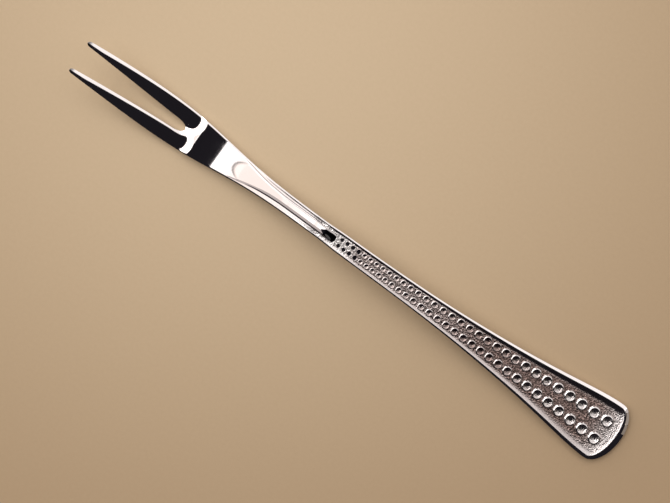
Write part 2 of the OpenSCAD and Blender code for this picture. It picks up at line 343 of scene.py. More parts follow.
# %% [markdown]
# Rounded end
# Beyond the widest place the rows fan round the end on ellipses that lie inside one another, and the last
# row lies on the middle line, where the mirrored half will meet it. Rows that went straight on would leave
# a ragged outline, and a cap of its own would show a seam in the polish.

# %% Fan of rows round the end
rim_tip, cove_tip, fan_step = 2.0, 3.3, 0.7


def end_fan(side, middle, to_axis):
    # How far each column lies in from the edge, at the sides and at the middle of the end
    a = end_t[:, None] * math.pi / 2
    x = x_flare + (end_length - middle) * np.sin(a)
    y = (handle_half - side) * np.cos(a)
    axis_x = x_flare + fan_step * end_t[:, None]
    return mix(x, axis_x, to_axis), mix(y, 0, to_axis)


def share_inward(is_inside):
    # From 0 at the first inside column to 1 at the last
    counted = np.clip(np.cumsum(is_inside) - 1, 0, None)
    return counted / counted.max()


rim_share = np.where(zone == "edge", round_share(share), 1)
cove_share = np.where(zone == "edge", 0, np.where(zone == "cove", share, 1))
at_sides = rim_end * rim_share + cove_end * cove_share
at_middle = rim_tip * rim_share + cove_tip * cove_share
inside_cove = share_inward(np.isin(zone, ["ground", "groove", "middle"]))
fan_x, fan_y = end_fan(at_sides, at_middle, inside_cove)
face_x = np.vstack([face_x, fan_x])
face_y = np.vstack([face_y, fan_y])
print("face ends at", round(float(face_x.max()), 3), "mm")

# %% [markdown]
# Rounded edges
# The outer edge is rounded all along. Round the slot the edge is rounded too: along the tines as narrowly
# as the outer edge, and at the slot's end in a wide soft slope, which is why light pools there on the real
# fork. The Bevel modifier can't change its width like that, so the rounding is worked out for each vertex.

# %% Rounding of the edges
bevel_curve = 1.35
edge_drop, end_drop = 0.56, 0.46


def slot_rounding(x, y, end_width):
    # 0 on the slot's wall and 1 where its rounded edge ends, from ellipses that grow outwards
    beside = np.clip((y - half_slot(x)) / np.maximum(edge_width(x), 1e-6), 0, 1)
    side_roll = float(rim_width(x_root))
    low, high = np.zeros_like(x), np.ones_like(x)
    for _ in range(40):
        m = (low + high) / 2
        across_slot = (y / (slot_half + side_roll * m)) ** 2
        outside = ((x - x_root) / (slot_round + end_width * m)) ** 2 + across_slot > 1
        low, high = np.where(outside, m, low), np.where(outside, high, m)
    return np.where(x < x_root, beside, high)


def bulge(m):
    return 1 - np.sqrt(np.clip(1 - (1 - np.clip(m, 0, 1)) ** 2, 0, 1))


def bevel(m):
    return (1 - np.clip(m, 0, 1)) ** bevel_curve


def hollow(u):
    # The cove is steepest under the crest and runs out flat into the ground
    return 1 - (1 - np.clip(u, 0, 1)) ** 2


end_turn = np.sin(end_t * math.pi / 2) ** 2
roll = np.append(edge_width(row_x), mix(rim_end, rim_tip, end_turn))
drop = (np.append(np.full(len(row_x), edge_drop), mix(edge_drop, end_drop, end_turn)) * roll)[:, None]
print("the edge is rounded over", roll.min().round(2), "to", roll.max().round(2), "mm")

# %% [markdown]
# Height of the struck face
# The height of each vertex is the back's height plus the metal's thickness, less the rounded edge and the
# cove, plus the tongue. A soft curved line marks where the tongue starts on the head, and a fine groove
# follows each of its sides. Both are shallow, but in a mirror finish they show as clear lines, so they are
# modelled.

# %% Height of the face
thin_share = 0.7
x_line, line_bow, line_half, line_curve, line_width, line_depth = 54.6, 2.4, 2.7, 2.5, 0.42, 0.012
line_end, line_fade = 1.8, 1.6
groove_offset, groove_width, groove_depth = 0.14, 0.2, 0.02
groove_end, groove_fade = 81, 8
slot_slope_width, slot_slope_drop, slot_reach = 3.4, 0.5, 3


def start_line(x, y):
    # The soft curved line where the tongue starts on the head
    d = (x - x_line - line_bow * (np.abs(y) / line_half) ** line_curve) / line_width
    return (1 - rise(np.abs(y), line_end, line_fade)) * np.exp(-d * d)


def groove_shape(x, y):
    # A fine groove just outside the tongue, fading out at the shoulders and at the nose
    d = (np.abs(y) - tongue_half(x) - groove_offset) / groove_width
    strength = rise(x, x_shoulder - 1, 6) * (1 - rise(x, groove_end, groove_fade))
    return groove_depth * strength * np.exp(-d * d) + line_depth * start_line(x, y)


def face_height(x, y):
    thick = thickness(x, y)
    edge = np.minimum(drop, thin_share * thick)
    z = back_z(np.minimum(x, LENGTH)) + thick - edge * bevel(rim_share)
    z -= ground_depth(x) * hollow(cove_share)
    in_rows = (np.arange(ROWS) < len(row_x))[:, None]
    z += np.where(x < x_nose, tongue_height(x, y), 0)
    z -= np.where((x < x_nose) & in_rows, groove_shape(x, y), 0)
    at_slot = np.where(x < x_root, edge, mix(edge, slot_slope_drop, rise(x, x_root, slot_round)))
    return z - np.where(x < x_crotch + slot_reach, at_slot * bevel(slot_rounding(x, y, slot_slope_width)), 0)


face_z = face_height(face_x, face_y)
print("face rises from", round(float(face_z.min()), 2), "to", round(float(face_z.max()), 2), "mm")

# %% [markdown]
# Back
# The back is plain: a flat form with rounded edges. It uses the same rows and columns, so that each vertex
# of the back lies under one of the face. Where it meets the table it is a little flat. A Solidify modifier
# would repeat the face's relief underneath, so the back has a plan and a height of its own.

# %% Plan and height of the back
back_roll, back_round, back_slot = 1.1, 0.4, 0.65
across = share_inward(zone != "edge")


def back_plan():
    x = row_x[:, None]
    edge, inner = half_width(x), half_slot(x)
    roll = mix(edge_width(x), back_roll, rise(x, x_root, 9))
    tine_in = inner + roll
    toward = mix(edge - roll, tine_in, np.clip(across / across[zone == "middle"].min(), 0, 1))
    tine = np.where(zone == "middle", inner + roll * round_share(1 - share), toward)
    inside = mix(edge - roll, inner, across)
    inside = np.where(x < x_crotch, mix(tine, inside, rise(x, x_root, slot_round)), inside)
    return np.where(zone == "edge", edge - roll * round_share(share), inside)


fan_x, fan_y = end_fan(back_roll * rim_share, back_roll * rim_share, across)
under_x = np.vstack([np.repeat(row_x[:, None], COLS, 1), fan_x])
under_y = np.vstack([back_plan(), fan_y])
rounding = back_round * thickness(under_x, under_y)
under_z = back_z(np.minimum(under_x, LENGTH)) + rounding * bulge(rim_share)
under_z += np.where(under_x < x_crotch + 1, rounding * bulge(slot_rounding(under_x, under_y, back_slot)), 0)
under_z = np.maximum(under_z, 0.0)
print("back is flat on the table at", int((under_z == 0).sum()), "vertices")

# %% [markdown]
# Points of the tines
# Over the last millimetre each tine's section shrinks to a blunt round point, both in width and in
# thickness. A sharp point would be a single vertex with stretched faces round it, so the section stays a
# small round one.

# %% Draw in the points
face_middle, back_middle = 0.1, 0.25
tips = slice(0, len(row_x))
point_share = np.sqrt(np.clip(1 - np.clip(1 - row_x / point_round, 0, 1) ** 2, 0, 1))[:, None]


def draw_in(grid, middle):
    drawn = mix(middle, grid[tips], point_share)
    grid[tips] = np.where(row_x[:, None] < point_round, drawn, grid[tips])


mid_y = ((half_slot(row_x) + half_width(row_x)) / 2)[:, None]
top_z = np.max(face_z[tips], 1, keepdims=True)
draw_in(face_y, mid_y)
draw_in(under_y, mid_y)
draw_in(face_z, top_z - face_middle)
draw_in(under_z, top_z - back_middle)
print("points are drawn in over", point_round, "mm")

# %% [markdown]
# Cut the blank A plane grid is added, and extruded down once so that it has a face and a back joined by a
# wall, as a blank has.

# %% Blank of half the fork
bpy.ops.object.select_all(action="DESELECT")
bpy.ops.mesh.primitive_grid_add(
    x_subdivisions=ROWS - 1, y_subdivisions=COLS - 1, size=1.0, location=(0, 0, 0))
blank = bpy.context.object
blank.name = "fork_handle"
bpy.ops.object.mode_set(mode="EDIT")
bpy.ops.mesh.select_all(action="SELECT")
bpy.ops.mesh.extrude_region_move(TRANSFORM_OT_translate={"value": (0, 0, -0.2)})
bpy.ops.object.mode_set(mode="OBJECT")
print("blank has", len(blank.data.vertices), "vertices")

# %% [markdown]
# Strike it
# Every vertex knows its row and column from where it lies in the flat grid. Striking moves each one to its
# place on the face or on the back. A die does just this, all at once, and no single edit-mode tool gives
# such a form.

# %% Move each vertex to its struck place
def grid_index(mesh):
    co = np.empty(len(mesh.vertices) * 3)
    mesh.vertices.foreach_get("co", co)
    co = co.reshape(-1, 3)
    row = np.rint((co[:, 0] + 0.5) * (ROWS - 1)).astype(int)
    col = np.rint((0.5 - co[:, 1]) * (COLS - 1)).astype(int)
    return row, col, co[:, 2] < -0.1


row, col, below = grid_index(blank.data)
struck = np.empty((len(row), 3))
for axis, (under, face) in enumerate([(under_x, face_x), (under_y, face_y), (under_z, face_z)]):
    struck[:, axis] = np.where(below, under[row, col], face[row, col])
struck[:, 0] -= LENGTH / 2
past_slot = np.append(row_x >= x_crotch, np.ones(len(end_t), bool))
on_axis = (col == COLS - 1) & past_slot[row] | (row == ROWS - 1)
struck[on_axis, 1] = 0
blank.data.vertices.foreach_set("co", (struck * MM).ravel())
blank.data.update()
print("struck half spans", (struck.min(0)).round(2), (struck.max(0)).round(2))

# %% [markdown]
# Marks for the finish
# The ground beside the tongue and between the bosses is stippled on the real fork, and tarnish has settled
# on it. The points, the hollow of the tongue's nose and the line where the tongue starts get painted shade,
# dark and dull. These could be painted as pictures. A value on each vertex is enough, because each mark ends
# where the form turns, and the metal's material reads the values later.

# %% Mark stipple and tarnish
cove_satin, neck_satin, cove_tarnish = 0.28, 0.08, 0.5
first_tarnish, worn_away = 0.74, 0.65


def paint(mesh, name, values):
    mark = mesh.attributes.new(name, "FLOAT", "POINT")
    mark.data.foreach_set("value", np.asarray(values, np.float32))


def on_face(grid):
    return np.where(below, 0, grid[row, col])


def ground_mark(x, y):
    # The cove is smoother than the ground, and the ground of the neck is nearly polished
    satin = (cove_share > 0) * mix(cove_satin, 1.0, rise(cove_share, 0.3, 0.7))
    beside = rise(np.abs(y), tongue_half(x) + 0.1, 0.25)
    in_neck = satin * beside * mix(neck_satin, 1.0, rise(x, 84.5, 4)) * rise(x, x_shoulder + 3, 12)
    return np.where(x < x_nose, in_neck, satin)


def tarnish_along(x):
    # Tarnish grows along the handle, and wear has thinned it at the end
    grown = mix(first_tarnish, 1.0, rise(x, 118, 38)) * rise(x, 94, 8)
    return grown * (1 - worn_away * rise(x, 187, 11))


def tarnish_mark(x):
    # The rim is rubbed bright, the top of the cove is half as tarnished as the ground
    return (cove_share > 0) * mix(cove_tarnish, 1.0, rise(cove_share, 0.15, 0.85)) * tarnish_along(x)


mark = ground_mark(face_x, face_y)
paint(blank.data, "ground", on_face(mark))
paint(blank.data, "tarnish", on_face(tarnish_mark(face_x)))
print("stippled vertices:", int((mark > 0.5).sum()))

# %% Mark the painted shade
painted_points_shade, painted_nose_shade = 0.95, 1.15
nose_start, nose_run, nose_margin = 87.2, 1.2, 0.4


# Painted shade, nearly black at the points, in the nose's hollow and along the tongue's start line
def painted_shade_mark(x, y):
    at_points = 1 - rise(x, 0.4, 1.2)
    in_nose = rise(x, nose_start, nose_run) * (1 - rise(x, x_nose - nose_margin, nose_margin))
    in_nose *= 1 - rise(tongue_share(x, y), 0.7, 0.3)
    return start_line(x, y) + painted_points_shade * at_points + painted_nose_shade * in_nose


mark = painted_shade_mark(face_x, face_y)
paint(blank.data, "painted_shade", on_face(mark))
print("dull vertices:", int((mark > 0.5).sum()))

# %% [markdown]
# Mirror it
# The wall on the middle line is deleted, and a Mirror modifier makes the other half and merges the two
# where they meet, so both are exactly even. The normals are then made consistent, because a mirrored mesh
# can come out inside out.

# %% Mirror the half and close it
bpy.ops.object.mode_set(mode="EDIT")
bpy.ops.mesh.select_all(action="DESELECT")
bm = bmesh.from_edit_mesh(blank.data)
for face in bm.faces:
    face.select_set(all(abs(v.co.y) < 1e-9 for v in face.verts))
middle_wall = sum(f.select for f in bm.faces)
bmesh.update_edit_mesh(blank.data)
bpy.ops.mesh.delete(type="FACE")
bpy.ops.object.mode_set(mode="OBJECT")
mirror = blank.modifiers.new("other half", "MIRROR")
mirror.use_axis = (False, True, False)
mirror.use_mirror_merge = True
mirror.merge_threshold = 1e-7
bpy.ops.object.modifier_apply(modifier=mirror.name)
bpy.ops.object.mode_set(mode="EDIT")
bpy.ops.mesh.select_all(action="SELECT")
bpy.ops.mesh.remove_doubles(threshold=2e-7)
bpy.ops.mesh.dissolve_degenerate(threshold=2e-7)
bpy.ops.mesh.normals_make_consistent(inside=False)
bpy.ops.mesh.select_all(action="DESELECT")
bpy.ops.mesh.select_non_manifold()
bm = bmesh.from_edit_mesh(blank.data)
open_edges = sum(e.select for e in bm.edges)
bpy.ops.object.mode_set(mode="OBJECT")
bpy.ops.object.shade_smooth()
print("wall faces taken out:", middle_wall, "open edges:", open_edges, "faces:", len(blank.data.polygons))

# %% [markdown]
# Part it into the named pieces
# The CAD model divides the fork into two tines, a head, a neck and a handle. The visual is parted at the
# same places, so that each of its pieces stands for one CAD node. A parted edge would show as a line in
# polished metal, so the normals of the whole fork are kept on the vertices and given back to the pieces
# afterwards.

# %% Keep the whole fork's normals
normals = np.empty(len(blank.data.vertices) * 3, np.float32)
blank.data.vertices.foreach_get("normal", normals)
kept = blank.data.attributes.new("kept_normal", "FLOAT_VECTOR", "POINT")
kept.data.foreach_set("vector", normals)
print("kept", len(normals) // 3, "normals")


# %% Part the pieces
def pick(*chosen):
    bpy.ops.object.select_all(action="DESELECT")
    for item in chosen:
        item.select_set(True)
    bpy.context.view_layer.objects.active = chosen[0]


def part_off(name, chosen):
    pick(blank)
    bpy.ops.object.mode_set(mode="EDIT")
    bpy.ops.mesh.select_all(action="DESELECT")
    bm = bmesh.from_edit_mesh(blank.data)
    for face in bm.faces:
        c = face.calc_center_median() / MM
        face.select_set(chosen(c.x + LENGTH / 2, c.y))
    bmesh.update_edit_mesh(blank.data)
    bpy.ops.mesh.separate(type="SELECTED")
    bpy.ops.object.mode_set(mode="OBJECT")
    piece = next(o for o in bpy.context.selected_objects if o is not blank)
    piece.name = name
    print(name, len(piece.data.polygons), "faces")
    return piece


left_tine = part_off("fork_left_tine", lambda x, y: x < x_root and y < 0)
right_tine = part_off("fork_right_tine", lambda x, y: x < x_root and y > 0)
head = part_off("fork_head", lambda x, y: x < x_shoulder)
neck = part_off("fork_neck", lambda x, y: x < x_nose)
handle = blank
pieces = {"left_tine": left_tine, "right_tine": right_tine, "head": head, "neck": neck, "handle": handle}

# %% [markdown]
# Close the pieces
# Each piece is closed where it was parted, so that it is a solid of its own, and gets its normals back:
# the kept ones on its skin, and a flat one on each closing face. The closing faces are hidden where the
# pieces meet, but other programs expect closed solids.

# %% Close the pieces and give the normals back
def close_piece(piece):
    pick(piece)
    skin_faces = len(piece.data.polygons)
    bpy.ops.object.mode_set(mode="EDIT")
    bpy.ops.mesh.select_all(action="SELECT")
    bpy.ops.mesh.fill_holes(sides=0)
    bpy.ops.mesh.select_all(action="SELECT")
    bpy.ops.mesh.normals_make_consistent(inside=False)
    bpy.ops.object.mode_set(mode="OBJECT")
    bpy.ops.object.shade_smooth()
    mesh = piece.data
    stored = np.empty(len(mesh.vertices) * 3, np.float32)
    mesh.attributes["kept_normal"].data.foreach_get("vector", stored)
    stored = stored.reshape(-1, 3)
    corner = []
    for polygon in mesh.polygons:
        if polygon.loop_total > 4:
            corner += [tuple(polygon.normal)] * polygon.loop_total
        else:
            corner += [tuple(stored[v]) for v in polygon.vertices]
    mesh.normals_split_custom_set(corner)
    mesh.attributes.remove(mesh.attributes["kept_normal"])
    print(piece.name, "closed with", len(mesh.polygons) - skin_faces, "faces")


for piece in pieces.values():
    close_piece(piece)

# %% [markdown]
# Bosses
# Two rows of thirty-two bosses run down the handle and grow with it. Each is a low ring with a dished
# middle, and the first four of each row have flat floors. A boss could be spun from its section. Here a
# disc is inset again and again, and each new inner face is raised or sunk to follow the section, which
# keeps the rings even.

# %% Sections of a boss
boss_foot, boss_lip = [(1.06, -0.06), (1.02, -0.005)], 0.008


def boss_section(crest, crest_height, floor_radius, floor_height, curve):
    # Radius and height of each ring, from the foot over the crest to the floor, in radii of the boss
    section = list(boss_foot)
    for u in np.linspace(0, 1, 9):
        section.append((mix(1.0, crest, u), crest_height * (1 - (1 - u) ** 2) + boss_lip * (1 - u)))
    for u in np.linspace(0, 1, 9)[1:]:
        r = mix(crest, floor_radius, u)
        up = ((r - floor_radius) / (crest - floor_radius)) ** curve
        section.append((r, mix(floor_height, crest_height, up)))
    if floor_radius > 0.1:
        section += [(floor_radius - 0.05, floor_height), (0.08, floor_height)]
    return section


sections = {
    "dish": boss_section(crest=0.74, crest_height=0.23, floor_radius=0.05, floor_height=0.025, curve=1.7),
    "pit": boss_section(crest=0.88, crest_height=0.22, floor_radius=0.74, floor_height=0.05, curve=1.3),
}
print("rings in a section:", {name: len(rings) for name, rings in sections.items()})


# %% Model a dished boss and a flat-bottomed one
def model_boss(name, section):
    bpy.ops.object.select_all(action="DESELECT")
    bpy.ops.mesh.primitive_circle_add(
        vertices=36, radius=section[0][0], fill_type="NGON", location=(0, 0, section[0][1]))
    made = bpy.context.object
    made.name = name
    bpy.ops.object.transform_apply(location=True)
    bpy.ops.object.mode_set(mode="EDIT")
    bpy.ops.mesh.select_all(action="SELECT")
    for (r0, z0), (r1, z1) in zip(section, section[1:]):
        bpy.ops.mesh.inset(thickness=0.0, depth=0.0)
        bpy.ops.transform.resize(value=(r1 / r0, r1 / r0, 1))
        bpy.ops.transform.translate(value=(0, 0, z1 - z0))
    bpy.ops.mesh.poke()
    # The foot is closed too, under the ground, so that each boss is a solid of its own
    bpy.ops.mesh.select_all(action="DESELECT")
    bpy.ops.mesh.select_non_manifold()
    bpy.ops.mesh.edge_face_add()
    bpy.ops.mesh.select_all(action="SELECT")
    bpy.ops.mesh.normals_make_consistent(inside=False)
    bpy.ops.object.mode_set(mode="OBJECT")
    bpy.ops.object.shade_smooth()
    print(name, "has", len(made.data.polygons), "faces")
    return made


masters = {name: model_boss(name, section) for name, section in sections.items()}

# %% [markdown]
# Rows of bosses
# On the real fork each boss is a little larger and further from the last than the one before, those in the
# middle of the rows sit slightly further along, and the last ones drift aside. An Array modifier can't
# grow its copies like that, so each boss is a copy of a master, scaled, tilted to the ground and placed by
# its number along the row.

# %% Places of the bosses
boss_count, boss_growth, boss_start, boss_finish = 32, 1.031, 1.7, 7.1
boss_run = LENGTH - x_nose - boss_start - boss_finish
pit_count, boss_fill = 4, 0.86
rows_apart_start, rows_apart_end, rows_curve = 2.1, 6.7, 1.6
ahead_most, ahead_middle, ahead_width = 1.05, 18, 4.5


def boss_place(i):
    whole_growth = boss_growth ** (boss_count - 1) - 1
    grown = (boss_growth ** i - 1) / whole_growth
    along = boss_start + boss_run * grown
    step = boss_run * boss_growth ** i * math.log(boss_growth) / whole_growth
    spread = mix(rows_apart_start, rows_apart_end, grown ** rows_curve) / 2
    along += ahead_most * math.exp(-((i - ahead_middle) / ahead_width) ** 2)
    return x_nose + along, spread, boss_fill * step / 2


print("radius of the first and last boss:", [round(boss_place(i)[2], 2) for i in (0, boss_count - 1)], "mm")


# %% Place the rows
drift_aside, drift_start, drift_run = 0.22, 160, 30
dish_radius, dish_blend, dish_stipple = 0.8, 0.15, 0.38
ring_stipple, ring_tarnish, last_tarnish = 0.12, 0.5, 0.3


def ground_z(x):
    return float(back_z(x) + thickness(x) - ground_depth(x))


def finish_boss(mesh, i, x):
    # Dishes are duller than the rings round them, and the last ones are less tarnished
    radius = np.array([math.hypot(v.co.x, v.co.y) for v in mesh.vertices])
    inside = ease((dish_radius - radius) / dish_blend)
    remaining = mix(1.0, last_tarnish, rise(i, 20, 9))
    paint(mesh, "ground", rise(i, 3, 4) * dish_stipple * mix(ring_stipple, 1.0, inside))
    paint(mesh, "tarnish", tarnish_along(x) * remaining * mix(ring_tarnish, 1.0, inside))


def boss_row(name, side):
    copies = []
    for i in range(boss_count):
        x, spread, radius = boss_place(i)
        pick(masters["pit" if i < pit_count else "dish"])
        bpy.ops.object.duplicate(linked=False)
        boss = bpy.context.object
        boss.scale = (radius * MM,) * 3
        boss.rotation_euler = (0, math.atan2(ground_z(x - 0.5) - ground_z(x + 0.5), 1), 0)
        aside = side * spread - drift_aside * float(rise(x, drift_start, drift_run))
        boss.location = ((x - LENGTH / 2) * MM, aside * MM, ground_z(x) * MM)
        finish_boss(boss.data, i, x)
        copies.append(boss)
    pick(*copies)
    bpy.ops.object.transform_apply(location=True, rotation=True, scale=True)
    bpy.ops.object.join()
    copies[0].name = name
    print(name, "joined from", boss_count, "bosses")
    return copies[0]


rows = [boss_row("boss_row_left", -1), boss_row("boss_row_right", 1)]
for master in masters.values():
    bpy.data.objects.remove(master)

# %% [markdown]
# Polished metal
# The fork is polished until it mirrors the room, so most of its look is reflection. The material adds what
# keeps a real one from looking like plain chrome: a slight change of tone, fine hairlines from wiping, and
# a stippled ground that is duller, with painted shade in its pits. Pictures of scratched metal could be
# mapped on, but nodes with Object coordinates stay sharp at any distance and keep these fixed to the metal.

# %% Node helpers
def node(tree, kind, **settings):
    made = tree.nodes.new(kind)
    for key, value in settings.items():
        if key in made.inputs:
            made.inputs[key].default_value = value
        else:
            setattr(made, key, value)
    return made


def feed(tree, socket, value):
    # A socket takes a number, or a link from another node
    if isinstance(value, (int, float)):
        socket.default_value = value
    else:
        tree.links.new(value, socket)


def ramp(tree, source, low, high, to_low, to_high):
    made = node(tree, "ShaderNodeMapRange")
    for key, value in zip(("From Min", "From Max", "To Min", "To Max"), (low, high, to_low, to_high)):
        made.inputs[key].default_value = value
    tree.links.new(source, made.inputs["Value"])
    return made.outputs["Result"]


def calc(tree, operation, a, b):
    made = node(tree, "ShaderNodeMath", operation=operation)
    feed(tree, made.inputs[0], a)
    feed(tree, made.inputs[1], b)
    return made.outputs[0]


def mixed(tree, a, b, factor):
    made = node(tree, "ShaderNodeMix", data_type="FLOAT")
    feed(tree, made.inputs[0], factor)
    feed(tree, made.inputs[2], a)
    feed(tree, made.inputs[3], b)
    return made.outputs[0]


def texture(tree, kind, place, scale, **settings):
    mapping = node(tree, "ShaderNodeMapping", Scale=scale)
    tree.links.new(place, mapping.inputs["Vector"])
    made = node(tree, kind, Scale=1.0, **settings)
    tree.links.new(mapping.outputs["Vector"], made.inputs["Vector"])
    return made


print("helpers make nodes, feed their sockets, and scale textures")

# %% Textures and roughness of the metal
metal = bpy.data.materials.new("struck_metal")
metal.use_nodes = True
tree = metal.node_tree
shader = tree.nodes["Principled BSDF"]
shader.inputs["Metallic"].default_value = 1.0
place = node(tree, "ShaderNodeTexCoord").outputs["Object"]
ground = node(tree, "ShaderNodeAttribute", attribute_name="ground").outputs["Fac"]
noise, cells = "ShaderNodeTexNoise", "ShaderNodeTexVoronoi"
tone = texture(tree, noise, place, (60, 60, 60), Detail=3.0, Roughness=0.6).outputs["Fac"]
pebbles = texture(tree, cells, place, (2300, 2300, 2300), Randomness=1.0).outputs["Distance"]
grain = texture(tree, noise, place, (3600, 3600, 3600), Detail=2.0, Roughness=0.55).outputs["Fac"]
specks = texture(tree, noise, place, (1900, 1900, 1900), Detail=2.0, Roughness=0.6).outputs["Fac"]
hairlines = texture(tree, noise, place, (90, 2600, 2600), Detail=2.0, Roughness=0.5).outputs["Fac"]
polished_rough = ramp(tree, hairlines, 0.35, 0.75, 0.022, 0.04)
ground_rough = ramp(tree, grain, 0.3, 0.7, 0.26, 0.38)
roughness = mixed(tree, polished_rough, ground_rough, calc(tree, "POWER", ground, 0.5))
tree.links.new(roughness, shader.inputs["Roughness"])
print("metal mixes polish and stipple by the ground mark")

# %% [markdown]
# Colour and relief
# Tarnish is a warm brown film, and painted shade darkens the stipple's pits a little and the points, the
# nose's hollow and the tongue's start line nearly to black, so each takes away some of the metal's own
# colour. The stipple is finer than a vertex, so it is relief in the material. Its heights lie on both sides
# of nought, because a relief that only rises would make a false slope where it fades out at the cove.

# %% Colour of the metal
tarnish_brown = (0.23, 0.167, 0.15, 1)
colours = node(tree, "ShaderNodeValToRGB")
darker, lighter = colours.color_ramp.elements
darker.position, darker.color = 0.3, (0.75, 0.72, 0.71, 1)
lighter.position, lighter.color = 0.7, (0.83, 0.80, 0.79, 1)
tree.links.new(tone, colours.inputs["Fac"])
stippled = calc(tree, "POWER", ground, 2.0)
# Painted shade in the middles of the stipple's pits; the specks vary the tone at random
pit_shade = ramp(tree, pebbles, 0.1, 0.42, 0.45, 1.0)
pit_shade = calc(tree, "MULTIPLY", pit_shade, ramp(tree, specks, 0.4, 0.62, 0.45, 1.75))
painted_shade = node(tree, "ShaderNodeAttribute", attribute_name="painted_shade").outputs["Fac"]
# Painted shade darkens the pits and takes the marked places nearly to black
shade = calc(tree, "MULTIPLY", mixed(tree, 1.0, pit_shade, stippled), ramp(tree, painted_shade, 0.0, 1.25, 1.0, 0.025))
tarnish = node(tree, "ShaderNodeMix", data_type="RGBA")
tarnished = node(tree, "ShaderNodeAttribute", attribute_name="tarnish").outputs["Fac"]
tree.links.new(tarnished, tarnish.inputs["Factor"])
tree.links.new(colours.outputs["Color"], tarnish.inputs["A"])
tarnish.inputs["B"].default_value = tarnish_brown
shaded = node(tree, "ShaderNodeVectorMath", operation="SCALE")
tree.links.new(tarnish.outputs["Result"], shaded.inputs[0])
tree.links.new(shade, shaded.inputs["Scale"])
tree.links.new(shaded.outputs["Vector"], shader.inputs["Base Color"])
# The darkest places are painted shade
print("colour goes from polish through tarnish to the pits, with dull places darkest")

# %% Relief of the stipple
stipple_height, hairline_share = 0.0005, 0.0005
pebble_relief = ramp(tree, pebbles, 0.0, 1.0, -0.55, 0.45)
grain_relief = ramp(tree, grain, 0.0, 1.0, -0.25, 0.25)
stipple = calc(tree, "ADD", pebble_relief, grain_relief)
relief = mixed(tree, calc(tree, "MULTIPLY", hairlines, hairline_share), stipple, stippled)
bump = node(tree, "ShaderNodeBump", Strength=1.0, Distance=stipple_height)
tree.links.new(relief, bump.inputs["Height"])
tree.links.new(bump.outputs["Normal"], shader.inputs["Normal"])
print("relief of the stipple:", stipple_height / MM, "mm")

# %% [markdown]
# Dressing Every piece gets the same metal, because the real fork is one piece of it. The rows of bosses
# stand for none, because in the CAD model they are part of the handle.

# %% Dress the pieces
for name, piece in pieces.items():
    piece.data.materials.clear()
    piece.data.materials.append(metal)
    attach(piece, "root")
    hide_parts(name)
for row_piece in rows:
    row_piece.data.materials.clear()
    row_piece.data.materials.append(metal)
    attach(row_piece, "root")
print("dressed", len(pieces) + len(rows), "pieces")

# %% [markdown]
# Camera
# The photograph looks down on the fork from nearly overhead, with the fork lying across the frame from
# upper left to lower right. The camera is placed from a lean towards the top of the picture, a distance,
# and the angle at which the fork lies. Its matrix is built from three directions: right, up, and back from
# the view.

# %% Place the camera
picture_turn, picture_lean = math.radians(35.935), math.radians(7.29)
camera_distance = 0.36409
aim_right, aim_away = -6.675, 0.417
picture_width, focal_length = 670, 1200
sensor_width = 36


def facing(side, top, back, centre):
    return Matrix((
        (side.x, top.x, back.x, centre.x), (side.y, top.y, back.y, centre.y),
        (side.z, top.z, back.z, centre.z), (0, 0, 0, 1)))


right = Vector((math.cos(picture_turn), math.sin(picture_turn), 0))
away = Vector((-math.sin(picture_turn), math.cos(picture_turn), 0))
toward_camera = away * math.sin(picture_lean) + Vector((0, 0, math.cos(picture_lean)))
picture_up = away * math.cos(picture_lean) - Vector((0, 0, math.sin(picture_lean)))
aim = (right * aim_right + away * aim_away) * MM
camera = bpy.data.objects.new("camera", bpy.data.cameras.new("camera"))
bpy.context.scene.collection.objects.link(camera)
camera.matrix_world = facing(right, picture_up, toward_camera, aim + toward_camera * camera_distance)
camera.data.sensor_width = sensor_width
camera.data.lens = sensor_width * focal_length / picture_width
camera.data.clip_start = 0.01
bpy.context.scene.camera = camera
print("camera stands", round(camera.matrix_world.translation.z, 3), "m above the table")

# %% [markdown]
# Paper
# The fork lies on plain tan paper with a faint grain. A pool of light is painted into the paper's colour: it
# gets darker away from a place beyond the fork's middle, towards the top of the picture, more than these
# lamps alone would make it, so its colour is toned by the distance from that place.

# %% Paper
paper_size, paper_drop = 16.0, 0.00002
bright_place, bright_radius = right * -0.03 + away * 0.0754, 0.215
bpy.ops.object.select_all(action="DESELECT")
bpy.ops.mesh.primitive_plane_add(size=paper_size, location=(0, 0, -paper_drop))
floor = bpy.context.object
floor.name = "paper"
bpy.ops.object.transform_apply(location=True)
paper = bpy.data.materials.new("tan_paper")
paper.use_nodes = True
tree = paper.node_tree
place = node(tree, "ShaderNodeTexCoord").outputs["Object"]
fibres = node(tree, "ShaderNodeTexNoise", Scale=900.0, Detail=4.0, Roughness=0.6)
tree.links.new(place, fibres.inputs["Vector"])
sheet = node(tree, "ShaderNodeValToRGB")
sheet.color_ramp.elements[0].color = (0.64, 0.475, 0.315, 1)
sheet.color_ramp.elements[1].color = (0.69, 0.515, 0.345, 1)
tree.links.new(fibres.outputs["Fac"], sheet.inputs["Fac"])
print("paper lies at z =", floor.data.vertices[0].co.z)

# %% Painted pool of light on the paper
apart = node(tree, "ShaderNodeVectorMath", operation="DISTANCE")
tree.links.new(place, apart.inputs[0])
apart.inputs[1].default_value = bright_place
falling = node(tree, "ShaderNodeMapRange", interpolation_type="SMOOTHSTEP")
tree.links.new(apart.outputs["Value"], falling.inputs["Value"])
falling.inputs["From Max"].default_value = bright_radius
